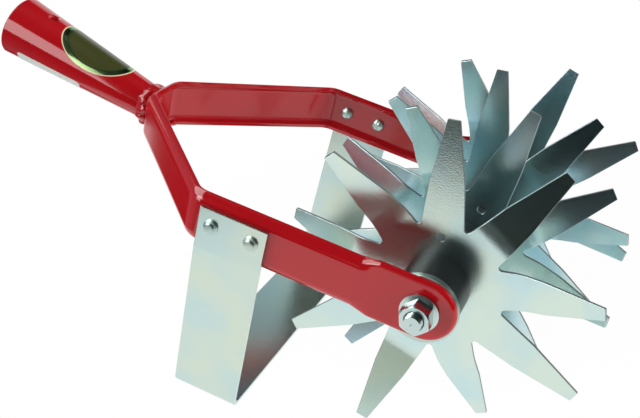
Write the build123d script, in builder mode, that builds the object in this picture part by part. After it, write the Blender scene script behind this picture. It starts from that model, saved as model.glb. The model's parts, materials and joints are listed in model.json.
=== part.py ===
from build123d import *
import math
import os

os.makedirs("parts", exist_ok=True)

# Driving dimensions, in millimetres and degrees

# Fork: one strip bent to a yoke, with both of its edges rolled inward
fork_width = 166.0
fork_wall = 2.5
arm_height = 26.2
edge_inner_radius = 3.5
edge_turn = 73.0
lip_bend_radius = 7.0
fork_length = 180.0
shoulder_margin = 12.2
base_width = 26.0
edge_stop = 22.0
edge_ramp = 9.0
lug_height = 29.0
lug_lead = 1.6
lug_rise = 0.8
lug_edge_flat = 0.3

# Handle socket: a tapered tube on the back of the fork's base
socket_tilt = 10.0
socket_length = 88.7
socket_mouth = 32.6
socket_foot = 18.5
socket_wall = 2.0
socket_rim = 0.6
weld_size = 2.0
weld_wrap = 1.5
screw_hole = 5.0
screw_setback = 18.5

# Stirrup blade: a flat strip bent to a U and riveted to the outer faces of the arms
blade_distance = 90.0
blade_width = 33.5
blade_thickness = 2.0
blade_drop = 98.3
blade_lean = 3.6
blade_bend = 3.0
blade_lean_bend = 8.0
blade_corner = 0.5
leg_rise = 0.6

# Rivets
rivet_pitch = 20.0
rivet_shank = 4.0
rivet_overhang = 1.6
rivet_dome = 2.8
rivet_clearance = 0.05

# Axle, washers and flange nuts
axle_thread = 8.0
axle_shoulder = 1.0
axle_stub = 3.3
axle_chamfer = 0.6
axle_centre_hole = 1.0
thread_clearance = 0.15
washer_margin = 12.25
washer_thickness = 3.0
nut_sides = 6
nut_flats = 13.0
nut_height = 8.0
nut_flange_overhang = 1.4
nut_flange_edge = 1.2
nut_flange_slope = 1.6
nut_chamfer_angle = 30.0
nut_entry = 0.6

# Hub bushes: two to a star, each with a spigot that fills half of the star's bore
hub_running_clearance = 0.1
hub_spigot_wall = 3.9
hub_shoulder = 6.4
hub_gap = 0.5
hub_round = 0.8
hub_seat_clearance = 0.05

# Star wheels: teeth in sets of three, one straight, one set to the right and one set to the left
star_phases = (100.7, 80.8, 99.1, 77.5)
tooth_sets = 3
star_thickness = 1.5
star_radius = 78.6
tip_width = 5.5
knee_radius = 50.0
knee_width = 15.6
gullet_radius = 29.0
gullet_round = 1.6
set_radius = 38.0
set_angle = 19.4
set_bend = 25.0
set_bend_run = 5.0
star_hole = 4.0
star_hole_radius = 24.5

# Sizes that follow from those above
arm_face = fork_width / 2
inner_face = arm_face - fork_wall
edge_radius = edge_inner_radius + fork_wall
edge_depth = edge_radius - edge_inner_radius * math.cos(math.radians(edge_turn))
web_half_flat = arm_height / 2 - edge_radius * math.sin(math.radians(edge_turn))
bend_radius = edge_depth + lip_bend_radius
lug_top = lug_rise + lug_height / 2
lug_bottom = lug_rise - lug_height / 2
lug_round = fork_wall - lug_edge_flat
shoulder_setback = blade_distance + rivet_pitch / 2 + shoulder_margin
shoulder_face = inner_face - washer_thickness
axle_end = arm_face + nut_height + axle_stub
axle_diameter = axle_thread + 2 * axle_shoulder
hub_bore = axle_diameter + 2 * hub_running_clearance
star_bore = hub_bore + 2 * (hub_spigot_wall + hub_seat_clearance)
hub_diameter = star_bore + 2 * hub_shoulder
star_count = len(star_phases)
star_pitch = (2 * shoulder_face - hub_gap) / star_count
hub_length = (star_pitch - hub_gap) / 2
tooth_count = 3 * tooth_sets
tooth_pitch = 360 / tooth_count
set_tip_radius = set_radius + (star_radius - set_radius) * math.cos(math.radians(set_angle))
set_knee_radius = set_radius + (knee_radius - set_radius) * math.cos(math.radians(set_angle))

# The head stands on the front edge of its blade and on its lowest tooth tip.
# Seen from the side, the ground is the line from that edge which meets a tip first.
front_edge_x = blade_width / 2 - blade_distance
ground_angles = []
for phase in star_phases:
    for tooth in range(tooth_count):
        tooth_angle = math.radians(phase + tooth * tooth_pitch)
        reach = star_radius if tooth % 3 == 0 else set_tip_radius
        for corner in (-tip_width / 2, tip_width / 2):
            tip_x = reach * math.cos(tooth_angle) - corner * math.sin(tooth_angle)
            tip_z = reach * math.sin(tooth_angle) + corner * math.cos(tooth_angle)
            ground_angles.append(math.atan2(tip_z + blade_drop, tip_x - front_edge_x))
rest_slope = min(ground_angles)

# Planes: the origin of the part is the centre of the socket's mouth, +X is forward, +Y is left
forward = Vector(math.cos(rest_slope), 0, -math.sin(rest_slope))
upward = Vector(math.sin(rest_slope), 0, math.cos(rest_slope))
rightward = Vector(0, -1, 0)
leftward = Vector(0, 1, 0)
tilt = math.radians(socket_tilt)
socket_way = upward * math.sin(tilt) - forward * math.cos(tilt)
socket_up = upward * math.cos(tilt) + forward * math.sin(tilt)
socket_start = socket_way * -socket_length
axle_centre = socket_start + forward * fork_length
arms = Plane(origin=axle_centre, x_dir=forward, z_dir=upward)
arms_side = Plane(origin=axle_centre, x_dir=forward, z_dir=rightward)
arms_front = Plane(origin=axle_centre, x_dir=leftward, z_dir=forward)
axle_line = Axis(axle_centre, leftward)
base_back = Plane(origin=socket_start, x_dir=leftward, z_dir=forward * -1)
socket_profile = Plane(origin=socket_start, x_dir=socket_way, z_dir=leftward)
socket_line = Axis(socket_start, socket_way)
outward = {"right": rightward, "left": leftward}
pieces = {}

# Fork yoke: a flat lug for the axle, the stretch where its edges begin to roll, and the strip between
with BuildPart() as fork_yoke:
    with BuildSketch(arms_side.offset(inner_face)):
        with BuildLine():
            Polyline(
                (lug_lead, lug_top),
                (-edge_stop, lug_top),
                (-edge_stop, lug_bottom),
                (lug_lead, lug_bottom),
            )
            CenterArc((lug_lead, lug_rise), lug_height / 2, -90, 180)
        make_face()
    extrude(amount=fork_wall)
    lug_face = fork_yoke.faces().filter_by(arms_side).sort_by(Axis(axle_centre, rightward))[-1]
    fillet(lug_face.edges().sort_by(Axis(axle_centre, forward))[1:], lug_round)
    with BuildSketch(arms_front.offset(-edge_stop)):
        with BuildLine():
            Line((-arm_face, lug_bottom + lug_round), (-arm_face, lug_top - lug_round))
            JernArc((-arm_face, lug_top - lug_round), (0, 1), lug_round, -90)
            JernArc((-arm_face, lug_bottom + lug_round), (0, -1), lug_round, 90)
            Polyline(
                (lug_round - arm_face, lug_top),
                (-inner_face, lug_top),
                (-inner_face, web_half_flat),
                (-inner_face, -web_half_flat),
                (-inner_face, lug_bottom),
                (lug_round - arm_face, lug_bottom),
            )
        make_face()
    with BuildSketch(arms_front.offset(-edge_stop - edge_ramp)) as rolled_strip:
        with BuildLine():
            Line((-arm_face, -web_half_flat), (-arm_face, web_half_flat))
            JernArc((-arm_face, web_half_flat), (0, 1), edge_radius, -edge_turn)
            JernArc((-arm_face, -web_half_flat), (0, -1), edge_radius, edge_turn)
            offset(amount=fork_wall, side=Side.RIGHT)
        make_face()
    loft()
    mirror(about=arms_side)
    with BuildLine(arms):
        FilletPolyline(
            (-edge_stop - edge_ramp, -arm_face),
            (-shoulder_setback, -arm_face),
            (-fork_length, -base_width / 2),
            (-fork_length, base_width / 2),
            (-shoulder_setback, arm_face),
            (-edge_stop - edge_ramp, arm_face),
            radius=bend_radius,
        )
    sweep(rolled_strip.sketch)
    with Locations(arms_side):
        Hole(axle_thread / 2 + thread_clearance)
        with Locations((rivet_pitch / 2 - blade_distance, 0), (-rivet_pitch / 2 - blade_distance, 0)):
            Hole(rivet_shank / 2 + rivet_clearance)
pieces["fork_yoke"] = fork_yoke

# Handle socket: tapered tube, weld bead round its foot, screw hole on top
foot_overrun = socket_foot
taper = (socket_mouth - socket_foot) / (2 * socket_length)
foot_radius = socket_foot / 2 - taper * foot_overrun
screw_station = socket_length - screw_setback
screw_seat = socket_foot / 2 + taper * screw_station
screw_head = screw_hole + socket_wall
screw_plane = Plane(socket_start + socket_way * screw_station, socket_way, socket_up).offset(screw_seat)
with BuildPart() as handle_socket:
    with BuildSketch(socket_profile):
        with BuildLine():
            Polyline(
                (-foot_overrun, 0),
                (-foot_overrun, foot_radius),
                (socket_length, socket_mouth / 2),
                (socket_length, 0),
                close=True,
            )
        make_face()
    revolve(axis=socket_line)
    fillet(handle_socket.edges().sort_by(socket_line)[-1], socket_rim)
    with Locations(base_back.offset(-weld_wrap)):
        Cylinder(socket_foot / 2 + weld_size, weld_wrap, align=(Align.CENTER, Align.CENTER, Align.MIN))
    with Locations(base_back):
        Cone(
            socket_foot / 2 + weld_size,
            socket_foot / 2,
            weld_size,
            align=(Align.CENTER, Align.CENTER, Align.MIN),
        )
    with BuildSketch(socket_profile):
        with BuildLine():
            Polyline(
                (-foot_overrun, 0),
                (-foot_overrun, foot_radius - socket_wall),
                (socket_length, socket_mouth / 2 - socket_wall),
                (socket_length, 0),
                close=True,
            )
        make_face()
    revolve(axis=socket_line, mode=Mode.SUBTRACT)
    split(bisect_by=base_back.offset(-weld_wrap))
    add(fork_yoke.part, mode=Mode.SUBTRACT)
    with Locations(screw_plane):
        CounterSinkHole(screw_hole / 2, screw_head / 2, depth=screw_seat, counter_sink_angle=90)
pieces["handle_socket"] = handle_socket

# Stirrup blade: legs upright on the arms, then leaning in towards the floor
leg_face = arm_face + blade_thickness
floor_face = leg_face - (blade_drop - arm_height / 2) * math.tan(math.radians(blade_lean))
with BuildPart() as stirrup_blade:
    with BuildSketch(arms_front.offset(-blade_distance)):
        with BuildLine():
            FilletPolyline(
                (-leg_face, web_half_flat + leg_rise),
                (-leg_face, -arm_height / 2),
                (-floor_face, -blade_drop),
                (floor_face, -blade_drop),
                (leg_face, -arm_height / 2),
                (leg_face, web_half_flat + leg_rise),
                radius=[
                    blade_lean_bend,
                    blade_bend + blade_thickness,
                    blade_bend + blade_thickness,
                    blade_lean_bend,
                ],
            )
            offset(amount=blade_thickness, side=Side.LEFT)
        make_face()
    extrude(amount=blade_width / 2, both=True)
    leg_tops = stirrup_blade.faces().filter_by(arms).group_by(Axis(axle_centre, upward))[-1]
    fillet(leg_tops.edges().filter_by(axle_line), blade_corner)
    with Locations(arms_side):
        with Locations((rivet_pitch / 2 - blade_distance, 0), (-rivet_pitch / 2 - blade_distance, 0)):
            Hole(rivet_shank / 2 + rivet_clearance)
pieces["stirrup_blade"] = stirrup_blade

# Rivets: a shank through blade and arm with a dome on both sides
rivet_radius = rivet_shank / 2 + rivet_overhang
rivet_places = {"rear": -blade_distance - rivet_pitch / 2, "front": -blade_distance + rivet_pitch / 2}
for side, way in outward.items():
    for place, reach in rivet_places.items():
        rivet_profile = Plane(origin=axle_centre + forward * reach, x_dir=way, z_dir=forward)
        with BuildPart() as rivet:
            with BuildSketch(rivet_profile):
                with BuildLine():
                    TangentArc((inner_face - rivet_dome, 0), (inner_face, rivet_radius), tangent=(0, 1))
                    Polyline(
                        (inner_face, rivet_radius),
                        (inner_face, rivet_shank / 2),
                        (leg_face, rivet_shank / 2),
                        (leg_face, rivet_radius),
                    )
                    TangentArc((leg_face + rivet_dome, 0), (leg_face, rivet_radius), tangent=(0, 1))
                    Line((leg_face + rivet_dome, 0), (inner_face - rivet_dome, 0))
                make_face()
            revolve(axis=Axis(rivet_profile.origin, way))
        pieces[f"rivet_{side}_{place}"] = rivet

# Axle: its shoulders hold the washers, and through them the arms, apart
with BuildPart() as axle:
    with BuildSketch(arms_front):
        with BuildLine():
            Polyline(
                (0, 0),
                (0, axle_diameter / 2),
                (shoulder_face, axle_diameter / 2),
                (shoulder_face, axle_thread / 2),
                (axle_end - axle_chamfer, axle_thread / 2),
                (axle_end, axle_thread / 2 - axle_chamfer),
                (axle_end, axle_centre_hole / 2),
                (axle_end - axle_centre_hole / 2, 0),
                close=True,
            )
        make_face()
        mirror(about=Plane.YZ)
    revolve(axis=axle_line)
pieces["axle"] = axle

# Washers, inside the arms
washer_radius = axle_thread / 2 + thread_clearance + washer_margin
for side, way in outward.items():
    with BuildPart(Plane(axle_centre + way * shoulder_face, forward, way)) as washer:
        Cylinder(washer_radius, washer_thickness, align=(Align.CENTER, Align.CENTER, Align.MIN))
        Hole(axle_thread / 2 + thread_clearance)
    pieces[f"washer_{side}"] = washer

# Flange nuts, outside the arms
nut_corner = nut_flats / 2 / math.cos(math.pi / nut_sides)
nut_flange = nut_corner + nut_flange_overhang
nut_drop = (nut_corner - nut_flats / 2) * math.tan(math.radians(nut_chamfer_angle))
for side, way in outward.items():
    nut_seat = Plane(axle_centre + way * arm_face, forward, way)
    nut_profile = Plane(axle_centre + way * arm_face, way, upward)
    with BuildPart() as nut:
        with BuildSketch(nut_seat):
            RegularPolygon(nut_flats / 2, nut_sides, major_radius=False)
        extrude(amount=nut_height)
        with BuildSketch(nut_profile):
            with BuildLine():
                Polyline(
                    (0, 0),
                    (0, nut_corner),
                    (nut_height - nut_drop, nut_corner),
                    (nut_height, nut_flats / 2),
                    (nut_height, 0),
                    close=True,
                )
            make_face()
        revolve(axis=axle_line, mode=Mode.INTERSECT)
        with BuildSketch(nut_profile):
            with BuildLine():
                Polyline(
                    (0, 0),
                    (0, nut_flange),
                    (nut_flange_edge, nut_flange),
                    (nut_flange_edge + nut_flange_slope, nut_flats / 2),
                    (nut_flange_edge + nut_flange_slope, 0),
                    close=True,
                )
            make_face()
        revolve(axis=axle_line)
        with Locations(nut_seat):
            Hole(axle_thread / 2 + thread_clearance)
        nut_end = nut.faces().sort_by(Axis(axle_centre, way))[-1]
        chamfer(nut_end.edges().sort_by(SortBy.RADIUS)[0], nut_entry)
    pieces[f"flange_nut_{side}"] = nut

# Set tooth: the outer stretch of a tooth, bent out of the star's plane along a line across it
gullet_x = gullet_radius * math.cos(math.radians(tooth_pitch / 2))
gullet_y = gullet_radius * math.sin(math.radians(tooth_pitch / 2))
root_slope = (gullet_y - knee_width / 2) / (knee_radius - gullet_x)
root_radius = set_radius - set_bend_run
root_width = knee_width + 2 * root_slope * (knee_radius - root_radius)
set_rise = (star_radius - set_radius) * math.sin(math.radians(set_angle))
tip_slope = (knee_width - tip_width) / 2 / (set_tip_radius - set_knee_radius)
trim_radius = set_tip_radius + star_thickness
trim_width = tip_width - 2 * tip_slope * star_thickness
with BuildPart() as right_set_tooth:
    with BuildSketch(Plane.XZ):
        with BuildLine():
            FilletPolyline(
                (root_radius, -star_thickness / 2),
                (set_radius, -star_thickness / 2),
                (set_tip_radius, set_rise - star_thickness / 2),
                radius=set_bend + star_thickness,
            )
            offset(amount=star_thickness, side=Side.LEFT)
        make_face()
    extrude(amount=root_width, both=True)
    with BuildSketch():
        with BuildLine():
            Polyline(
                (root_radius, 0),
                (root_radius, root_width / 2),
                (set_knee_radius, knee_width / 2),
                (trim_radius, trim_width / 2),
                (trim_radius, 0),
            )
            mirror(about=Plane.XZ)
        make_face()
    extrude(amount=star_radius, both=True, mode=Mode.INTERSECT)

with BuildPart() as left_set_tooth:
    mirror(right_set_tooth.part, about=Plane.XY)

# Star: the flat blank with its straight teeth, and the set teeth on their roots
with BuildPart() as star:
    with BuildSketch() as blank:
        with PolarLocations(0, tooth_sets):
            Polygon(
                (0, 0),
                (gullet_x, -gullet_y),
                (knee_radius, -knee_width / 2),
                (star_radius, -tip_width / 2),
                (star_radius, tip_width / 2),
                (knee_radius, knee_width / 2),
                (gullet_x, gullet_y),
                align=None,
            )
        for root_angle in (tooth_pitch, 2 * tooth_pitch):
            with PolarLocations(0, tooth_sets, start_angle=root_angle):
                Polygon(
                    (0, 0),
                    (gullet_x, -gullet_y),
                    (root_radius, -root_width / 2),
                    (root_radius, root_width / 2),
                    (gullet_x, gullet_y),
                    align=None,
                )
        fillet(blank.vertices().sort_by_distance((0, 0))[:tooth_count], gullet_round)
        Circle(star_bore / 2, mode=Mode.SUBTRACT)
        with Locations((star_hole_radius, 0)):
            Circle(star_hole / 2, mode=Mode.SUBTRACT)
    extrude(amount=star_thickness / 2, both=True)
    with PolarLocations(0, tooth_sets, start_angle=tooth_pitch):
        add(right_set_tooth.part)
    with PolarLocations(0, tooth_sets, start_angle=2 * tooth_pitch):
        add(left_set_tooth.part)

# Wheels: each star between its two hub bushes, along the axle from right to left
for number, phase in enumerate(star_phases, start=1):
    station = axle_centre + leftward * star_pitch * (number - (star_count + 1) / 2)
    first_tooth = forward * math.cos(math.radians(phase)) + upward * math.sin(math.radians(phase))
    with BuildPart(Plane(station, first_tooth, rightward)) as star_wheel:
        add(star.part)
    pieces[f"star_wheel_{number}"] = star_wheel
    for side, way in outward.items():
        with BuildPart() as hub_bush:
            with BuildSketch(Plane(station, way, upward)):
                with BuildLine():
                    Polyline(
                        (0, hub_bore / 2),
                        (0, star_bore / 2 - hub_seat_clearance),
                        (star_thickness / 2, star_bore / 2 - hub_seat_clearance),
                        (star_thickness / 2, hub_diameter / 2),
                        (hub_length, hub_diameter / 2),
                        (hub_length, hub_bore / 2),
                        close=True,
                    )
                make_face()
            revolve(axis=axle_line)
            outer_end = hub_bush.faces().sort_by(Axis(station, way))[-1]
            fillet(outer_end.edges().sort_by(SortBy.RADIUS)[-1], hub_round)
        pieces[f"hub_bush_{number}_{side}"] = hub_bush

for name, piece in pieces.items():
    piece.part.label = name
    export_step(piece.part, f"parts/{name}.step")
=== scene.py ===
# %% [markdown]
# # A rotary hand cultivator
# The head of a long-handled garden tool: a red pressed fork holds an axle with four zinc plated star
# wheels, a stirrup blade hangs behind them, and a tapered socket takes the handle. The solids come from
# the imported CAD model, which stays where it is. This lesson gives them their finishes, softens their
# edges and adds what is too fine for the solids: threads, rivet heads, welds and two labels.

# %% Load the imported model
import json
import math

import bmesh
import bpy
import numpy
from mathutils import Matrix, Vector, noise


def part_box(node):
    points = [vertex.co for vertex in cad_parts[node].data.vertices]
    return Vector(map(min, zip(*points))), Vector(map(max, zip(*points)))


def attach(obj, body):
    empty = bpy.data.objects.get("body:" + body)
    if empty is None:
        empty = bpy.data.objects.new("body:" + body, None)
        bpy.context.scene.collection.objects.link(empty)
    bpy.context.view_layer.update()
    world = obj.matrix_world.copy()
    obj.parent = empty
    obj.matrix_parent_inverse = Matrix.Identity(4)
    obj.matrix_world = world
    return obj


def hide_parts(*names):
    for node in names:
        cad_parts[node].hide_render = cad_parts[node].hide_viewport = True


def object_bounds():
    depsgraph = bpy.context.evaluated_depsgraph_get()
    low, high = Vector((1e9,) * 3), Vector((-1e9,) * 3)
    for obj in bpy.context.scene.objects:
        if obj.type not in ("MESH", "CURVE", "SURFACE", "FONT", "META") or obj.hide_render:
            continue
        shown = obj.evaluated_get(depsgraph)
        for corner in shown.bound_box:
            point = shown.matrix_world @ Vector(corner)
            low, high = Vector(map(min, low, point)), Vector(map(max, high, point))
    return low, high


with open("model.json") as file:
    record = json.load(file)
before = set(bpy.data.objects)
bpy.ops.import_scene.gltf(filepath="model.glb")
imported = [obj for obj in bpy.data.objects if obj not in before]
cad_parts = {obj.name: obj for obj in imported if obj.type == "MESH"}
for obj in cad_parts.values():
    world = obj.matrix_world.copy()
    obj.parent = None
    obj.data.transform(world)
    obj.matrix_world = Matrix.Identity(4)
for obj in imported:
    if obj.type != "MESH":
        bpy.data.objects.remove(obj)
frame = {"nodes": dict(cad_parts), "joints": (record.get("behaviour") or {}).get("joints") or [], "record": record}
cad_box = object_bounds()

print("nodes", len(frame["nodes"]), "box", [tuple(round(v, 3) for v in corner) for corner in cad_box])

# %% [markdown]
# ## Where things are
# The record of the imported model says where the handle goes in, where its screw goes and where the wheels
# turn. From these three places come all the directions that the pieces below need, so nothing has to be
# measured twice: along the socket, up from the socket, and forward and up along the fork's arms.

# %% Read the places from the record
MM = 0.001
record = frame["record"]
mounts = {mount["name"]: mount for mount in record["mounts"]}
socket_mount = mounts["handle_socket"]
socket_way = Vector(socket_mount["axis"]).normalized()
socket_up = Vector(mounts["handle_screw"]["axis"]).normalized()
socket_length = socket_mount["dims"]["length_mm"] * MM
socket_foot = Vector(socket_mount["pos_m"]) - socket_way * socket_length
axle_centre = Vector(frame["joints"][0]["pos_m"])
forward = (axle_centre - socket_foot).normalized()
rightward = Vector((0, -1, 0))
upward = rightward.cross(forward).normalized()
ground = cad_box[0].z
body_of = {node: body for body, nodes in record["behaviour"]["bodies"].items() for node in nodes}
print("foot of the socket", socket_foot, "axle", axle_centre, "upward", upward)

# %% [markdown]
# ## Camera
# The camera was found from the photograph: it stands in front of the tool and to its right, looks down
# by 26 degrees and is level. The picture is a crop, so the middle of the lens isn't the middle of the
# frame, and a small shift takes care of that.

# %% Put the camera in its place
CAMERA_PLACE = Vector((356.06, -417.84, 123.62)) * MM
CAMERA_AZIMUTH = math.radians(20.52)
CAMERA_ELEVATION = math.radians(25.92)
CAMERA_ROLL = math.radians(-0.3)

camera_data = bpy.data.cameras.new("camera")
camera_data.lens = 53.58
camera_data.sensor_width = 36.0
camera_data.sensor_fit = "HORIZONTAL"
camera_data.shift_x = -0.0725
camera_data.shift_y = 0.0391
camera_data.clip_start = 0.01
camera = bpy.data.objects.new("camera", camera_data)
bpy.context.scene.collection.objects.link(camera)
camera.matrix_world = (
    Matrix.Translation(CAMERA_PLACE)
    @ Matrix.Rotation(CAMERA_AZIMUTH, 4, "Z")
    @ Matrix.Rotation(math.pi / 2 - CAMERA_ELEVATION, 4, "X")
    @ Matrix.Rotation(CAMERA_ROLL, 4, "Z")
)
bpy.context.scene.camera = camera
bpy.context.scene.view_settings.view_transform = "Standard"
print("camera at", camera.matrix_world.translation)

# %% [markdown]
# ## Small helpers for finishes
# Colours are written as the hex values that a picture shows. Blender mixes light in linear values, so
# one function turns the first into the second. Another adds a node, sets it up and links it: an input
# that is given a socket is linked, and any other value is set. A Mix node for colours has its factor at
# input 0, its two colours at 6 and 7, and its result at output 2.

# %% Colours and nodes
def linear(hex_colour):
    values = [int(hex_colour[i:i + 2], 16) / 255 for i in (1, 3, 5)]
    return tuple(v / 12.92 if v <= 0.04045 else ((v + 0.055) / 1.055) ** 2.4 for v in values) + (1.0,)


def add_node(tree, kind, inputs=None, **settings):
    node = tree.nodes.new(kind)
    for name, value in settings.items():
        setattr(node, name, value)
    for name, value in (inputs or {}).items():
        if isinstance(value, bpy.types.NodeSocket):
            tree.links.new(value, node.inputs[name])
        else:
            node.inputs[name].default_value = value
    return node


def new_material(name):
    material = bpy.data.materials.new(name)
    material.use_nodes = True
    material.node_tree.nodes.clear()
    return material, material.node_tree


print("a mid grey is", linear("#808080")[0])

# %% [markdown]
# ## Studio
# The plating is bright, so what it mirrors makes most of its looks: the wall at the back is pale, the
# left side is a dim blue, and the rest of the room is dark, apart from a small pale glow straight in
# front. A picture of a room could stand round the tool too, but a room that is drawn with a few nodes
# needs no file, and each wall can be moved by itself. The direction of a ray decides what it meets. Its
# dot product with the way to a wall is 1 straight at that wall and less beside it.

# %% Draw the walls of the room
BACK_WALL_WAY = (0.35, 0.94, 0)
LEFT_WALL_TONE = 0.22

world = bpy.data.worlds.new("studio")
bpy.context.scene.world = world
world.use_nodes = True
tree = world.node_tree
tree.nodes.clear()
look = add_node(tree, "ShaderNodeTexCoord").outputs["Generated"]
parts = add_node(tree, "ShaderNodeSeparateXYZ", {"Vector": look})
to_wall = add_node(tree, "ShaderNodeVectorMath", {0: look, 1: BACK_WALL_WAY}, operation="DOT_PRODUCT")
behind = add_node(
    tree, "ShaderNodeMapRange", {"Value": to_wall.outputs["Value"], "From Min": 0.25, "From Max": 0.7}
)
low = add_node(
    tree, "ShaderNodeMapRange", {"Value": parts.outputs["Z"], "From Min": 0.72, "From Max": 0.5}
)
back_wall = add_node(
    tree, "ShaderNodeMath", {0: behind.outputs["Result"], 1: low.outputs["Result"]}, operation="MULTIPLY"
)
left = add_node(
    tree,
    "ShaderNodeMapRange",
    {"Value": parts.outputs["X"], "From Min": -0.45, "From Max": -0.85, "To Max": LEFT_WALL_TONE},
)
above = add_node(
    tree, "ShaderNodeMapRange", {"Value": parts.outputs["Z"], "From Min": -0.02, "From Max": 0.06}
)
front = add_node(
    tree, "ShaderNodeMapRange", {"Value": parts.outputs["Y"], "From Min": 0.3, "From Max": 0.1}
)
open_side = add_node(
    tree, "ShaderNodeMath", {0: above.outputs["Result"], 1: front.outputs["Result"]}, operation="MAXIMUM"
)
left_wall = add_node(
    tree,
    "ShaderNodeMath",
    {0: left.outputs["Result"], 1: open_side.outputs["Value"]},
    operation="MULTIPLY",
)
walls = add_node(
    tree,
    "ShaderNodeMath",
    {0: back_wall.outputs["Value"], 1: left_wall.outputs["Value"]},
    operation="MAXIMUM",
)
print("nodes for the walls", len(tree.nodes))

# %% Colour the room
FRONT_GLOW_WAY = (-0.052, -0.997, 0.052)

tones = add_node(tree, "ShaderNodeValToRGB", {"Fac": walls.outputs["Value"]})
tones.color_ramp.elements[0].color = linear("#1A1F1F")
tones.color_ramp.elements[1].color = linear("#FFFFFF")
tones.color_ramp.elements.new(0.4).color = linear("#90B5C2")
to_front = add_node(tree, "ShaderNodeVectorMath", {0: look, 1: FRONT_GLOW_WAY}, operation="DOT_PRODUCT")
glow = add_node(
    tree, "ShaderNodeMapRange", {"Value": to_front.outputs["Value"], "From Min": 0.984, "From Max": 0.997}
)
room = add_node(
    tree,
    "ShaderNodeMix",
    {0: glow.outputs["Result"], 6: tones.outputs["Color"], 7: linear("#DCE2D8")},
    data_type="RGBA",
)
print("tones of the walls", len(tones.color_ramp.elements))

# %% [markdown]
# ## Who sees the room
# A Light Path node tells what kind of ray asks. Reflections get the room, matt surfaces get a weak plain
# light, so that the lamps can shape them, and the camera gets white.

# %% Share the world out
path = add_node(tree, "ShaderNodeLightPath")
plain = add_node(tree, "ShaderNodeBackground", {"Color": linear("#EEF0F0"), "Strength": 0.16})
mirrored = add_node(tree, "ShaderNodeBackground", {"Color": room.outputs[2], "Strength": 1.0})
white = add_node(tree, "ShaderNodeBackground", {"Color": linear("#FFFFFF"), "Strength": 1.0})
lit = add_node(
    tree,
    "ShaderNodeMixShader",
    {
        "Fac": path.outputs["Is Glossy Ray"],
        1: plain.outputs["Background"],
        2: mirrored.outputs["Background"],
    },
)
seen = add_node(
    tree,
    "ShaderNodeMath",
    {0: path.outputs["Is Camera Ray"], 1: path.outputs["Is Transmission Ray"]},
    operation="MAXIMUM",
)
shown = add_node(
    tree,
    "ShaderNodeMixShader",
    {"Fac": seen.outputs["Value"], 1: lit.outputs["Shader"], 2: white.outputs["Background"]},
)
add_node(tree, "ShaderNodeOutputWorld", {"Surface": shown.outputs["Shader"]})
print("world nodes", len(tree.nodes))

# %% [markdown]
# ## White sheet
# A sheet of paper lies under the tool. To the camera and in the metal it is almost pure white, and it
# keeps a faint shadow. Towards its rim it turns fully white, so that its edge doesn't show. It also
# lights the tool from below, as paper in bright light does. So its finish is a mix of a matt white, which
# takes shadows, and a white that shines.

# %% Make the paper
sheet_turn = Matrix.Rotation(CAMERA_AZIMUTH, 3, "Z")
sheet_middle = sheet_turn @ Vector((0.26, 0.09, 0))

sheet_finish, tree = new_material("white_paper_sheet")
place = add_node(tree, "ShaderNodeTexCoord")
from_middle = add_node(
    tree,
    "ShaderNodeVectorMath",
    {0: place.outputs["Object"], 1: (sheet_middle.x, sheet_middle.y, ground)},
    operation="DISTANCE",
)
rim = add_node(
    tree,
    "ShaderNodeMapRange",
    {
        "Value": from_middle.outputs["Value"],
        "From Min": 0.1,
        "From Max": 0.23,
        "To Min": 0.95,
        "To Max": 1.0,
    },
)
path = add_node(tree, "ShaderNodeLightPath")
looked_at = add_node(
    tree,
    "ShaderNodeMath",
    {0: path.outputs["Is Camera Ray"], 1: path.outputs["Is Glossy Ray"]},
    operation="MAXIMUM",
)
shine = add_node(
    tree, "ShaderNodeMapRange", {"Value": looked_at.outputs["Value"], "To Min": 0.85, "To Max": 1.0}
)
share = add_node(
    tree, "ShaderNodeMath", {0: shine.outputs["Result"], 1: rim.outputs["Result"]}, operation="MULTIPLY"
)
matt = add_node(tree, "ShaderNodeBsdfDiffuse", {"Color": linear("#F4F4F4")})
bright = add_node(tree, "ShaderNodeEmission", {"Color": linear("#FFFFFF"), "Strength": 1.0})
both = add_node(
    tree,
    "ShaderNodeMixShader",
    {"Fac": share.outputs["Value"], 1: matt.outputs["BSDF"], 2: bright.outputs["Emission"]},
)
add_node(tree, "ShaderNodeOutputMaterial", {"Surface": both.outputs["Shader"]})
print(sheet_finish.name, "round", sheet_middle)

# %% [markdown]
# ## The outline of the sheet
# In the metal the sheet's outline is the border between white and dark. Two rectangles make it, turned
# with the camera: the front one ends a little way before the tool, and the back one loses its left corner
# to a slanting cut. The sheet lies a hair below the lowest tooth, so that no two faces share one plane.

# %% Lay the sheet
SHEET_FRONT = (Vector((-0.11, -0.402, 0)), Vector((0.66, 0.03, 0)))
SHEET_BACK = (Vector((-0.25, 0.03, 0)), Vector((0.66, 0.6, 0)))
SHEET_NOTCH = Vector((-0.012, 0.03, 0))
SHEET_SLANT = Vector((0.765, 0.644, 0))
SHEET_GAP = 0.2 * MM


def whole(bm):
    return bm.verts[:] + bm.edges[:] + bm.faces[:]


def lay_rectangle(bm, low_corner, high_corner):
    half = (high_corner - low_corner) / 2
    at = Matrix.Translation((low_corner + high_corner) / 2) @ Matrix.Diagonal((half.x, half.y, 1, 1))
    bmesh.ops.create_grid(bm, x_segments=1, y_segments=1, size=1.0, matrix=at)


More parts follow.
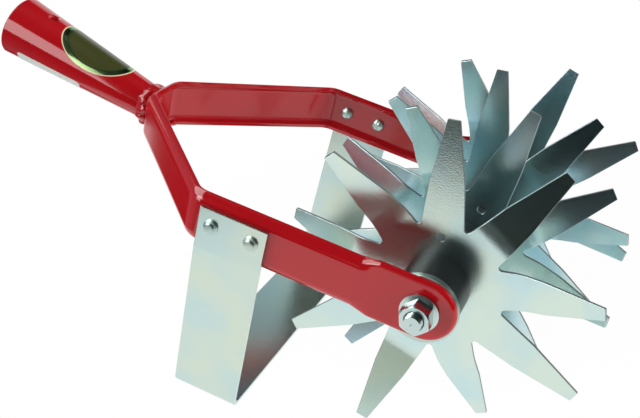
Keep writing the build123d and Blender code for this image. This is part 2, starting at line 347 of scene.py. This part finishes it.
bm = bmesh.new()
lay_rectangle(bm, *SHEET_BACK)
bmesh.ops.bisect_plane(bm, geom=whole(bm), plane_co=SHEET_NOTCH, plane_no=SHEET_SLANT, clear_inner=True)
lay_rectangle(bm, *SHEET_FRONT)
bmesh.ops.rotate(bm, verts=bm.verts, matrix=sheet_turn)
bmesh.ops.translate(bm, verts=bm.verts, vec=(0, 0, ground - SHEET_GAP))
sheet_mesh = bpy.data.meshes.new("sheet")
bm.to_mesh(sheet_mesh)
bm.free()
sheet_mesh.materials.append(sheet_finish)
sheet = bpy.data.objects.new("sheet", sheet_mesh)
bpy.context.scene.collection.objects.link(sheet)
print("sheet at height", round(ground - SHEET_GAP, 4))

# %% [markdown]
# ## Soft boxes
# Two soft boxes at the left are there only to be mirrored: the near one makes the bright band along the
# socket, and the large one overhead makes the patch on the fork's bend. Four wide ones only light the
# matt colours. An area lamp can do either alone, because it can be hidden from glossy or from diffuse
# rays, so bands and colours can be set one by one. The strength is given as radiance, which doesn't
# change with the lamp's size.

# %% Hang the soft boxes
WIDE_FILL = (2.7, 2.1)
SMALL_FILL = (0.9, 0.7)
BACKWARD = Vector((0, 1, 0))
DOWNWARD = Vector((0, 0, -1))
tool_middle = Vector((0.12, 0, -0.05))


def soft_box(name, place, target, size, radiance, only_mirrored=False, lean=0.0):
    lamp = bpy.data.lights.new(name, "AREA")
    lamp.shape = "RECTANGLE"
    lamp.size, lamp.size_y = size
    lamp.energy = radiance * math.pi * size[0] * size[1]
    box = bpy.data.objects.new(name, lamp)
    bpy.context.scene.collection.objects.link(box)
    aim = (place - target).to_track_quat("Z", "Y").to_matrix().to_4x4()
    box.matrix_world = Matrix.Translation(place) @ aim @ Matrix.Rotation(lean, 4, "Z")
    box.visible_glossy = only_mirrored
    box.visible_diffuse = not only_mirrored
    box.visible_camera = False
    print(name, "watts", round(lamp.energy, 2))


near_place = Vector((-0.115, -0.4, 0.135))
soft_box(
    "front_left_box",
    near_place,
    near_place + BACKWARD,
    size=(0.22, 0.295),
    radiance=4.0,
    only_mirrored=True,
    lean=math.radians(-14),
)
high_place = Vector((-0.859, -1.01, 0.94))
soft_box(
    "high_panel",
    high_place,
    high_place + DOWNWARD,
    size=(1.13, 2.6),
    radiance=4.0,
    only_mirrored=True,
    lean=math.radians(-15.7),
)
soft_box("left_fill", Vector((-2.58, -1.26, 0.31)), tool_middle, WIDE_FILL, radiance=4.6)
soft_box("right_fill", Vector((2.97, -0.6, 0.55)), tool_middle, WIDE_FILL, radiance=4.0)
soft_box("overhead_fill", Vector((0.1, 0.05, 0.95)), tool_middle, SMALL_FILL, radiance=2.0)
soft_box("back_fill", Vector((0.2, 0.9, 0.5)), tool_middle, SMALL_FILL, radiance=1.5)

# %% [markdown]
# ## Red enamel
# The fork and the socket are steel, dipped or sprayed with a red stoving enamel. Such a coat is smooth
# and glossy over a slightly uneven film, known as orange peel, so its reflections are clear but not
# perfect. A single red would look like moulded plastic, so noise at two scales gives the film's faint
# unevenness in colour and the peel in its surface.

# %% Make the enamel
ORANGE_PEEL_MM = 1.4
FILM_MOTTLE_MM = 18.0


def red_enamel():
    material, tree = new_material("red_stoving_enamel")
    place = add_node(tree, "ShaderNodeTexCoord")
    mottle = add_node(
        tree,
        "ShaderNodeTexNoise",
        {"Vector": place.outputs["Object"], "Scale": 1 / (FILM_MOTTLE_MM * MM), "Detail": 3.0},
    )
    colour = add_node(
        tree,
        "ShaderNodeMix",
        {0: mottle.outputs["Fac"], 6: linear("#AE0F18"), 7: linear("#BC131C")},
        data_type="RGBA",
    )
    peel = add_node(
        tree,
        "ShaderNodeTexNoise",
        {"Vector": place.outputs["Object"], "Scale": 1 / (ORANGE_PEEL_MM * MM), "Detail": 2.0},
    )
    bump = add_node(
        tree, "ShaderNodeBump", {"Height": peel.outputs["Fac"], "Strength": 0.14, "Distance": 0.03 * MM}
    )
    paint = add_node(
        tree,
        "ShaderNodeBsdfPrincipled",
        {
            "Base Color": colour.outputs[2],
            "Roughness": 0.1,
            "IOR": 1.6,
            "Normal": bump.outputs["Normal"],
        },
    )
    add_node(tree, "ShaderNodeOutputMaterial", {"Surface": paint.outputs["BSDF"]})
    return material


enamel = red_enamel()
print(enamel.name)

# %% [markdown]
# ## Bright zinc plate
# The wheels, the blade and the fasteners are mild steel with a thin bright zinc plate. It mirrors what is
# near it, with a soft edge, because the steel underneath is not polished. A clear passivation film shifts
# its tint from pale blue to pale yellow. One function makes all the batches. The wheels behind the near one
# are painted bluer: a painted reflection of the bluish light that they mirror. The rivets and washers are
# duller. The sheared edges of the stars are rougher, and they are painted darker as a painted shade of the
# dark that they mirror. The real grain is finer than a pixel, so it is drawn as coarse as it needs to show.

# %% Make the zinc
ZINC_GRAIN_MM = 0.5
ZINC_RELIEF_MM = 0.026
ZINC_TINT_MM = 26.0
ZINC_ROUGHNESS_DRIFT = 0.05


def zinc_plate(name, blue, yellow, roughness, grain):
    material, tree = new_material(name)
    place = add_node(tree, "ShaderNodeTexCoord")
    tint = add_node(
        tree,
        "ShaderNodeTexNoise",
        {"Vector": place.outputs["Object"], "Scale": 1 / (ZINC_TINT_MM * MM), "Detail": 2.0},
    )
    drift = add_node(
        tree, "ShaderNodeMapRange", {"Value": tint.outputs["Fac"], "From Min": 0.36, "From Max": 0.64}
    )
    colour = add_node(
        tree,
        "ShaderNodeMix",
        {0: drift.outputs["Result"], 6: linear(blue), 7: linear(yellow)},
        data_type="RGBA",
    )
    specks = add_node(
        tree,
        "ShaderNodeTexNoise",
        {"Vector": place.outputs["Object"], "Scale": 1 / (ZINC_GRAIN_MM * MM), "Detail": 0.0},
    )
    rough = add_node(
        tree,
        "ShaderNodeMapRange",
        {
            "Value": specks.outputs["Fac"],
            "To Min": roughness - ZINC_ROUGHNESS_DRIFT,
            "To Max": roughness + ZINC_ROUGHNESS_DRIFT,
        },
    )
    bump = add_node(
        tree,
        "ShaderNodeBump",
        {"Height": specks.outputs["Fac"], "Strength": grain, "Distance": ZINC_RELIEF_MM * MM},
    )
    metal = add_node(
        tree,
        "ShaderNodeBsdfPrincipled",
        {
            "Base Color": colour.outputs[2],
            "Metallic": 1.0,
            "Roughness": rough.outputs["Result"],
            "Normal": bump.outputs["Normal"],
        },
    )
    add_node(tree, "ShaderNodeOutputMaterial", {"Surface": metal.outputs["BSDF"]})
    print(name)
    return material


# The near wheel keeps the plain tint. The wheels behind it are painted bluer, a painted reflection of the bluish
# light that they mirror.
zinc_near = zinc_plate("near_wheel_zinc_plate", "#C5DFE0", "#D4E4D8", roughness=0.22, grain=0.9)
zinc_wheel_painted_bluer = zinc_plate("zinc_plate_with_painted_blue_reflection", "#BFDCE5", "#D0E4E1", roughness=0.22, grain=0.9)
zinc_blade = zinc_plate("clear_passivated_zinc_plate", "#C4DBD9", "#D0DED0", roughness=0.24, grain=0.6)
zinc_fastener = zinc_plate("zinc_plated_fastener_steel", "#C2D4D4", "#CEDAD4", roughness=0.24, grain=0.12)
zinc_rivet = zinc_plate("zinc_plated_rivet_steel", "#BED3CE", "#CBDACF", roughness=0.4, grain=0.25)
# Painted shade: the sheared edges get a darker base colour for the dark that they mirror. Their higher roughness
# is real.
zinc_sheared_painted_dark = zinc_plate("sheared_edge_zinc_with_painted_shade", "#7F8C8F", "#8C938E", roughness=0.42, grain=0.8)

# %% [markdown]
# ## Black nylon
# The hub bushes are moulded in black nylon. The mould leaves a satin skin with a very fine grain, which
# is drawn coarser here, so that it shows.

# %% Make the nylon
NYLON_GRAIN_MM = 0.6


def black_nylon():
    material, tree = new_material("black_moulded_nylon")
    place = add_node(tree, "ShaderNodeTexCoord")
    skin = add_node(
        tree,
        "ShaderNodeTexNoise",
        {"Vector": place.outputs["Object"], "Scale": 1 / (NYLON_GRAIN_MM * MM), "Detail": 3.0},
    )
    bump = add_node(
        tree, "ShaderNodeBump", {"Height": skin.outputs["Fac"], "Strength": 0.3, "Distance": 0.03 * MM}
    )
    plastic = add_node(
        tree,
        "ShaderNodeBsdfPrincipled",
        {
            "Base Color": linear("#202426"),
            "Roughness": 0.36,
            "IOR": 1.53,
            "Normal": bump.outputs["Normal"],
        },
    )
    add_node(tree, "ShaderNodeOutputMaterial", {"Surface": plastic.outputs["BSDF"]})
    return material


nylon = black_nylon()
print(nylon.name)

# %% [markdown]
# ## A finish for every solid
# The names of the solids say what they are, so one function finds the finish by name. The softened copies
# that are made further down ask the same function.

# %% Give the solids their finishes
def finish_of(node):
    if node in ("fork_yoke", "handle_socket"):
        return enamel
    if node.startswith("hub_bush"):
        return nylon
    if node == "star_wheel_1":
        return zinc_near
    if node.startswith("star_wheel"):
        return zinc_wheel_painted_bluer
    if node == "stirrup_blade":
        return zinc_blade
    if node.startswith(("rivet", "washer")):
        return zinc_rivet
    return zinc_fastener


for name, solid in frame["nodes"].items():
    solid.data.materials.clear()
    solid.data.materials.append(finish_of(name))
print("finished", len(frame["nodes"]), "solids")

# %% [markdown]
# ## Pieces and copies
# A piece that is made here is an object at the origin with its place in its mesh, as a solid's is. It
# rides on a body of the tool, so that it moves with it, and a piece that stands for a solid hides it. The
# solid itself is never changed: its copy is merged to one skin, and its flat triangles are joined to
# whole faces.

# %% Helpers for pieces
MERGE = 0.002 * MM
FLAT = math.radians(0.3)


def add_piece(name, bm, finish, node=None):
    mesh = bpy.data.meshes.new(name)
    bm.to_mesh(mesh)
    bm.free()
    mesh.materials.append(finish)
    piece = bpy.data.objects.new(name, mesh)
    bpy.context.scene.collection.objects.link(piece)
    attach(piece, body_of[node] if node else "frame")
    if node:
        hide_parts(node)
    print(name, "faces", len(mesh.polygons))
    return piece


def merged_copy(node):
    bm = bmesh.new()
    bm.from_mesh(frame["nodes"][node].data)
    bmesh.ops.remove_doubles(bm, verts=bm.verts, dist=MERGE)
    bmesh.ops.dissolve_limit(bm, angle_limit=FLAT, verts=bm.verts, edges=bm.edges, delimit=set())
    return bm


# %% [markdown]
# ## Softened edges
# Sheared and turned steel never has a perfectly sharp edge: the plating rounds it, and the small round
# catches a line of light. So the edges of a copy that turn by more than 25 degrees get a narrow bevel. A
# Bevel modifier could do that too, but with the bevel in the mesh each face can be given its finish: on
# the stars, a face that hardly looks along the axle is a sheared one and gets a rougher finish, painted
# darker as painted shade. A Weighted Normal modifier keeps the large faces flat to the light.

# %% Make softened copies
SHARP = math.radians(25)
SHEARED_LIMIT = 0.6
STAR_ROUND = 0.2 * MM
STRIP_ROUND = 0.25 * MM
WASHER_ROUND = 0.3 * MM


def soften(node, width, side_finish=None, press=None):
    bm = merged_copy(node)
    if press:
        press(bm)
    sharp = [edge for edge in bm.edges if edge.calc_face_angle(0.0) > SHARP]
    if width:
        bmesh.ops.bevel(
            bm,
            geom=sharp,
            offset=width,
            offset_type="OFFSET",
            affect="EDGES",
            segments=2,
            profile=0.5,
            material=-1,
            clamp_overlap=False,
        )
    else:
        for edge in sharp:
            edge.smooth = False
    bm.normal_update()
    for face in bm.faces:
        face.smooth = True
        face.material_index = int(side_finish is not None and abs(face.normal.y) < SHEARED_LIMIT)
    piece = add_piece(node + "_softened", bm, finish_of(node), node)
    if side_finish:
        piece.data.materials.append(side_finish)
    flat = piece.modifiers.new("flat_faces_stay_flat", "WEIGHTED_NORMAL")
    flat.keep_sharp = True


for star in sorted(name for name in frame["nodes"] if name.startswith("star_wheel")):
    soften(star, STAR_ROUND, zinc_sheared_painted_dark)
soften("stirrup_blade", STRIP_ROUND)
soften("fork_yoke", STRIP_ROUND)
for side in ("right", "left"):
    soften(f"washer_{side}", WASHER_ROUND)

# %% [markdown]
# ## Flange nuts
# Each nut is a hexagon on a flange that is hardly thicker than a washer. The solid's flange rises steeply
# to the hexagon, and its corners point along the arm. A new nut could be modelled, but the solid already
# has the hexagon and its chamfers. So the copy's flange is pressed flatter, by a row of heights above the
# seat before and after, and then the nut is turned to the angle at which the spanner left it. Its edges
# stay crisp: the arcs where a chamfer cuts a hexagon run out to nothing, and a bevel has no room there.

# %% Press and turn the nuts
FLANGE_BEFORE = [0.0, 1.2 * MM, 2.8 * MM, 7.0 * MM, 8.0 * MM]
FLANGE_AFTER = [0.0, 0.9 * MM, 1.35 * MM, 7.0 * MM, 8.0 * MM]
NUT_TURN = Matrix.Rotation(math.radians(14), 3, "Y")
nut_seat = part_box("flange_nut_left")[0].y


def press_nut(bm):
    for vert in bm.verts:
        height = numpy.interp(abs(vert.co.y) - nut_seat, FLANGE_BEFORE, FLANGE_AFTER)
        vert.co.y = math.copysign(nut_seat + height, vert.co.y)
    bmesh.ops.rotate(bm, verts=bm.verts, cent=axle_centre, matrix=NUT_TURN)


for side in ("right", "left"):
    soften(f"flange_nut_{side}", 0.0, press=press_nut)

# %% [markdown]
# ## Rivet heads
# The rivets are closed cold. On the blade the tool leaves a low ring with a boss standing on it, and
# inside the arm a dome with the dents of the hammer. The solid has a plain dome on both sides. Here each
# rivet is one line of points, from the middle of one head to the middle of the other, spun round the
# rivet's axis. A point is given in millimetres, by its distance from the axis and its depth below the top
# of the head. A Screw modifier turns a line round too, but the spin leaves a plain mesh that can be
# dented. The dents are noise that presses the dome in, so the head never outgrows the solid.

# %% Spin the rivets
HEAD_HEIGHT_MM = 2.8
SHANK_RADIUS_MM = 2.0
HEAD_RADIUS_MM = 3.6
BOSS_HEAD = (
    (0, 0),
    (1.4, 0),
    (2.1, 0.15),
    (2.4, 0.5),
    (2.5, 1.5),
    (3.2, 1.75),
    (3.55, 2.15),
    (HEAD_RADIUS_MM, HEAD_HEIGHT_MM),
    (SHANK_RADIUS_MM, HEAD_HEIGHT_MM),
)
DOME_HEAD = (
    (SHANK_RADIUS_MM, HEAD_HEIGHT_MM),
    (HEAD_RADIUS_MM, HEAD_HEIGHT_MM),
    (HEAD_RADIUS_MM, 2.3),
    (3.45, 1.7),
    (3.1, 1.1),
    (2.5, 0.6),
    (1.8, 0.25),
    (0.9, 0.05),
    (0, 0),
)
RIVET_STEPS = 48
DENT_SIZE = 2.2 * MM
DENT_DEPTH = 0.7 * MM


def shade_smooth(bm, sharp=math.pi):
    for edge in bm.edges:
        edge.smooth = edge.calc_face_angle(0.0) < sharp
    for face in bm.faces:
        face.smooth = True


for node in sorted(name for name in frame["nodes"] if name.startswith("rivet")):
    low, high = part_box(node)
    middle = (low + high) / 2
    outer, inner = sorted((low.y, high.y), key=abs, reverse=True)
    way = math.copysign(MM, outer)
    line = [(reach, outer - way * depth) for reach, depth in BOSS_HEAD]
    line += [(reach, inner + way * depth) for reach, depth in DOME_HEAD]
    bm = bmesh.new()
    points = [bm.verts.new((middle.x, along, middle.z + reach * MM)) for reach, along in line]
    for start, end in zip(points, points[1:]):
        bm.edges.new((start, end))
    bmesh.ops.spin(
        bm,
        geom=whole(bm),
        cent=middle,
        axis=(0, 1, 0),
        angle=math.tau,
        steps=RIVET_STEPS,
        use_merge=True,
    )
    bmesh.ops.remove_doubles(bm, verts=bm.verts, dist=MERGE)
    bmesh.ops.recalc_face_normals(bm, faces=bm.faces)
    for vert in bm.verts:
        height = HEAD_HEIGHT_MM - abs(vert.co.y - inner) / MM
        if height > 0:
            dent = max(0.0, noise.noise(vert.co / DENT_SIZE))
            vert.co.y += math.copysign(DENT_DEPTH, outer) * dent * height / HEAD_HEIGHT_MM
    shade_smooth(bm, SHARP)
    add_piece(node + "_set", bm, zinc_rivet, node)

# %% [markdown]
# ## Axle with its threads
# The axle's ends are threaded M8, with a pitch of 1.25 mm. The solid has plain ends, so a copy of it is
# turned down to the thread's root, apart from a lip at the very end, where the thread's first turn meets
# the face of the bar. The thicker middle of the axle stays as it is.

# %% Turn the ends down
THREAD_CREST = 4.0 * MM
THREAD_ROOT = 3.25 * MM
THREAD_LIP = 3.7 * MM
PLAIN_END_START = 78.0 * MM
PLAIN_END_REACH = 1.1 * THREAD_CREST
axle_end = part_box("axle")[1].y


def spoke_of(vert):
    return vert.co - Vector((axle_centre.x, vert.co.y, axle_centre.z))


axle = merged_copy("axle")
for vert in axle.verts:
    spoke = spoke_of(vert)
    if abs(vert.co.y) > PLAIN_END_START and THREAD_ROOT < spoke.length < PLAIN_END_REACH:
        at_end = abs(vert.co.y) > axle_end - MERGE
        vert.co -= spoke * (1 - (THREAD_LIP if at_end else THREAD_ROOT) / spoke.length)
print("half the axle's length", round(axle_end, 4))

# %% [markdown]
# ## The ridge of a thread
# Rings round the bar would pass for a thread from afar, but up close each turn has to climb to the next.
# The ridge starts as one closed profile, and a spin that also moves along the axle draws it out to a
# helix. It is cut off just behind the end of the axle, so that its last face doesn't lie in the end face.
# There it is also pressed in, because a bar is chamfered before the thread is cut.

# %% Wind the threads
THREAD_PITCH = 1.25 * MM
THREAD_START = 84.0 * MM
THREAD_LEAD = 0.3 * MM
TURN_STEPS = 32
RIDGE_DEPTH = 0.1 * MM
RIDGE_FLAT = 0.15 * MM
RIDGE_PROFILE = (
    (THREAD_ROOT - RIDGE_DEPTH, 0),
    (THREAD_CREST, (THREAD_PITCH - RIDGE_FLAT) / 2),
    (THREAD_CREST, (THREAD_PITCH + RIDGE_FLAT) / 2),
    (THREAD_ROOT - RIDGE_DEPTH, THREAD_PITCH),
)
turns = (axle_end - THREAD_START) / THREAD_PITCH + 1
ridge_end = axle_end - RIDGE_DEPTH


def close_holes(bm):
    bmesh.ops.holes_fill(bm, edges=[edge for edge in bm.edges if edge.is_boundary])


def thread_ridge(way):
    ridge = bmesh.new()
    corners = [
        ridge.verts.new(axle_centre + upward * reach + Vector((0, way * (THREAD_START + along), 0)))
        for reach, along in RIDGE_PROFILE
    ]
    ridge.faces.new(corners)
    bmesh.ops.spin(
        ridge,
        geom=ridge.edges[:],
        cent=axle_centre,
        axis=(0, -1, 0),
        dvec=(0, way * THREAD_PITCH / TURN_STEPS, 0),
        angle=-way * turns * math.tau,
        steps=round(turns * TURN_STEPS),
    )
    close_holes(ridge)
    bmesh.ops.bisect_plane(
        ridge,
        geom=whole(ridge),
        plane_co=(0, way * ridge_end, 0),
        plane_no=(0, way, 0),
        clear_outer=True,
    )
    close_holes(ridge)
    for vert in ridge.verts:
        spoke = spoke_of(vert)
        allowed = THREAD_LIP - THREAD_LEAD + axle_end - abs(vert.co.y)
        if spoke.length > allowed:
            vert.co -= spoke * (1 - allowed / spoke.length)
    bmesh.ops.recalc_face_normals(ridge, faces=ridge.faces)
    return ridge


for way in (1, -1):
    ridge = thread_ridge(way)
    wound = bpy.data.meshes.new("ridge")
    ridge.to_mesh(wound)
    ridge.free()
    axle.from_mesh(wound)
    bpy.data.meshes.remove(wound)
shade_smooth(axle, SHARP)
add_piece("axle_threaded", axle, zinc_fastener, "axle")

# %% [markdown]
# ## Weld bead
# A weld joins the socket to the fork. Its bead is laid by hand in short steps, which leave a chain of
# scales, and the enamel flows over them. A curve with a round bevel would make a smooth ring, but scales
# need points that move one by one, so a circle is spun round the foot of the socket. Then each point
# moves out and in with the steps, and a little noise makes them uneven. At the top and the bottom the
# fork's edges roll away, and the bead follows them.

# %% Lay the bead
BEAD_RADIUS = 9.8 * MM
BEAD_SECTION = 1.75 * MM
BEAD_SIDES = 16
BEAD_STEPS = 150
BEAD_STRETCH = 1.9
BEAD_OUT = 3.5 * MM
BEAD_SCALES = 13
BEAD_SWELL = 0.16
BEAD_STAGGER = 3
BEAD_UNEVEN = 0.36
BEAD_ROLL = 1.1 * MM
BEAD_LUMP = 4.5 * MM

bm = bmesh.new()
axes = Matrix((upward, forward, upward.cross(forward))).transposed().to_4x4()
start = Matrix.Translation(socket_foot + upward * BEAD_RADIUS - forward * BEAD_OUT)
bmesh.ops.create_circle(bm, cap_ends=False, segments=BEAD_SIDES, radius=BEAD_SECTION, matrix=start @ axes)
bmesh.ops.spin(
    bm,
    geom=bm.edges[:],
    cent=socket_foot,
    axis=forward,
    angle=math.tau,
    steps=BEAD_STEPS,
    use_merge=True,
)
bmesh.ops.remove_doubles(bm, verts=bm.verts, dist=MERGE)
bmesh.ops.recalc_face_normals(bm, faces=bm.faces)
for vert in bm.verts:
    spoke = vert.co - socket_foot
    spoke -= forward * spoke.dot(forward)
    angle = math.atan2(spoke.dot(rightward), spoke.dot(upward))
    middle = socket_foot + spoke.normalized() * BEAD_RADIUS - forward * BEAD_OUT
    offset = vert.co - middle
    offset += forward * offset.dot(forward) * (BEAD_STRETCH - 1)
    uneven = noise.noise((middle + offset) / BEAD_LUMP)
    step = math.cos(BEAD_SCALES * angle + BEAD_STAGGER * uneven)
    scale = 1 + BEAD_SWELL * step + BEAD_UNEVEN * uneven
    vert.co = middle + offset * scale + forward * BEAD_ROLL * math.cos(angle) ** 4
shade_smooth(bm)
add_piece("weld_bead", bm, enamel)

# %% [markdown]
# ## Weld spots
# Inside the fork two drops of weld show at the foot of the socket, one above and one in the lower corner.
# Each is a ball that is pressed flat on the fork and dented with noise.

# %% Set the weld spots
SPOTS = (
    (Vector((86.0, -5.5, -29.5)) * MM, Vector((1.6, 2.6, 3.4)) * MM),
    (Vector((82.5, 10.2, -49.5)) * MM, Vector((2.2, 2.4, 1.8)) * MM),
)
SPOT_LUMP = BEAD_LUMP / 2
SPOT_UNEVEN = 0.35

for number, (middle, reach) in enumerate(SPOTS, 1):
    bm = bmesh.new()
    bmesh.ops.create_icosphere(bm, subdivisions=4, radius=1.0, matrix=Matrix.Diagonal((*reach, 1)))
    for vert in bm.verts:
        vert.co = middle + vert.co * (1 + SPOT_UNEVEN * noise.noise((middle + vert.co) / SPOT_LUMP))
    shade_smooth(bm)
    add_piece(f"weld_spot_{number}", bm, enamel)

# %% [markdown]
# ## Finishes of the labels
# Two self-adhesive labels sit on the socket: on top an oval one of printed foil, and low on the right a
# strip of white paper. The print on the foil is a plain field inside rings, and one ring is bare foil, so
# it is metallic. The rings follow the label's own flat coordinates, kept as a UV map. The fibres of the
# paper, and those under the foil, are drawn coarser than they are, so that they show.

# %% Make the foil
PAPER_FIBRE_MM = 0.8
DARK_RING = 0.80
FOIL_RING = 0.84
PALE_RIM = 0.965


def printed_foil():
    material, tree = new_material("printed_foil_label")
    flat = add_node(tree, "ShaderNodeUVMap", uv_map="flat")
    reach = add_node(tree, "ShaderNodeVectorMath", {0: flat.outputs["UV"]}, operation="LENGTH")
    rings = add_node(tree, "ShaderNodeValToRGB", {"Fac": reach.outputs["Value"]})
    rings.color_ramp.interpolation = "CONSTANT"
    rings.color_ramp.elements[0].color = linear("#43461F")
    rings.color_ramp.elements[1].position = PALE_RIM
    rings.color_ramp.elements[1].color = linear("#E9DDB4")
    rings.color_ramp.elements.new(DARK_RING).color = linear("#1F3B1C")
    rings.color_ramp.elements.new(FOIL_RING).color = linear("#89A270")
    bare_foil = add_node(tree, "ShaderNodeValToRGB", {"Fac": reach.outputs["Value"]})
    bare_foil.color_ramp.interpolation = "CONSTANT"
    bare_foil.color_ramp.elements[0].color = (0, 0, 0, 1)
    bare_foil.color_ramp.elements[1].position = PALE_RIM
    bare_foil.color_ramp.elements[1].color = (0, 0, 0, 1)
    bare_foil.color_ramp.elements.new(FOIL_RING).color = (1, 1, 1, 1)
    place = add_node(tree, "ShaderNodeTexCoord")
    fibre = add_node(
        tree,
        "ShaderNodeTexNoise",
        {"Vector": place.outputs["Object"], "Scale": 1 / (PAPER_FIBRE_MM * MM), "Detail": 3.0},
    )
    bump = add_node(
        tree, "ShaderNodeBump", {"Height": fibre.outputs["Fac"], "Strength": 0.15, "Distance": 0.02 * MM}
    )
    film = add_node(
        tree,
        "ShaderNodeBsdfPrincipled",
        {
            "Base Color": rings.outputs["Color"],
            "Metallic": bare_foil.outputs["Color"],
            "Roughness": 0.2,
            "Normal": bump.outputs["Normal"],
        },
    )
    add_node(tree, "ShaderNodeOutputMaterial", {"Surface": film.outputs["BSDF"]})
    return material


foil = printed_foil()
print(foil.name)

# %% Make the label paper
def label_paper():
    material, tree = new_material("white_label_paper")
    place = add_node(tree, "ShaderNodeTexCoord")
    fibre = add_node(
        tree,
        "ShaderNodeTexNoise",
        {"Vector": place.outputs["Object"], "Scale": 1 / (PAPER_FIBRE_MM * MM), "Detail": 4.0},
    )
    colour = add_node(
        tree,
        "ShaderNodeMix",
        {0: fibre.outputs["Fac"], 6: linear("#D3D7D1"), 7: linear("#E4E6E0")},
        data_type="RGBA",
    )
    bump = add_node(
        tree, "ShaderNodeBump", {"Height": fibre.outputs["Fac"], "Strength": 0.2, "Distance": 0.02 * MM}
    )
    sheet_of_paper = add_node(
        tree,
        "ShaderNodeBsdfPrincipled",
        {"Base Color": colour.outputs[2], "Roughness": 0.5, "Normal": bump.outputs["Normal"]},
    )
    add_node(tree, "ShaderNodeOutputMaterial", {"Surface": sheet_of_paper.outputs["BSDF"]})
    return material


paper = label_paper()
print(paper.name)

# %% [markdown]
# ## Labels
# Each label is cut out flat, as the real ones are, then sliced into narrow strips so that it can bend,
# and wrapped round the cone of the socket. A Shrinkwrap modifier could lay it on too, but the cone's
# radius is known at every station, so each point can be put in its place directly. Solidify gives the
# film its thickness.

# %% Cut the labels and wrap them
FOOT_RADIUS = 9.25 * MM
MOUTH_RADIUS = 16.3 * MM
LABEL_FILM = 0.12 * MM
LABEL_STRIP = 1.0 * MM
LABEL_CORNER = 2 * MM
OVAL_HALVES = (21.5 * MM, 15.6 * MM)
STRIP_HALVES = (19.0 * MM, 4.9 * MM)


def socket_radius(station):
    return FOOT_RADIUS + (MOUTH_RADIUS - FOOT_RADIUS) * station / socket_length


def wrap_label(name, bm, finish, halves, station, turn):
    half_length, half_width = halves
    strips = math.ceil(2 * half_width / LABEL_STRIP)
    for number in range(1, strips):
        across = half_width * (2 * number / strips - 1)
        bmesh.ops.bisect_plane(bm, geom=whole(bm), plane_co=(0, across, 0), plane_no=(0, 1, 0))
    flat = bm.loops.layers.uv.new("flat")
    for edge in bm.edges:
        edge.smooth = not edge.is_boundary
    for face in bm.faces:
        face.smooth = True
        for loop in face.loops:
            loop[flat].uv = (loop.vert.co.x / half_length, loop.vert.co.y / half_width)
    for vert in bm.verts:
        along = station + vert.co.x
        around = turn + vert.co.y / socket_radius(station)
        out = socket_up * math.cos(around) + rightward * math.sin(around)
        vert.co = socket_foot + socket_way * along + out * (socket_radius(along) + LABEL_FILM)
    piece = add_piece(name, bm, finish)
    film = piece.modifiers.new("film", "SOLIDIFY")
    film.thickness = LABEL_FILM
    film.offset = -1.0


oval = bmesh.new()
bmesh.ops.create_circle(oval, cap_ends=True, segments=128, radius=1.0)
bmesh.ops.scale(oval, verts=oval.verts, vec=(*OVAL_HALVES, 1))
wrap_label("oval_label", oval, foil, OVAL_HALVES, station=40.5 * MM, turn=0.0)

strip = bmesh.new()
bmesh.ops.create_grid(strip, x_segments=1, y_segments=1, size=1.0)
bmesh.ops.scale(strip, verts=strip.verts, vec=(*STRIP_HALVES, 1))
bmesh.ops.bevel(
    strip,
    geom=strip.verts[:],
    offset=LABEL_CORNER,
    affect="VERTICES",
    segments=6,
    profile=0.5,
    material=-1,
)
wrap_label("paper_label", strip, paper, STRIP_HALVES, station=60.0 * MM, turn=math.radians(135))
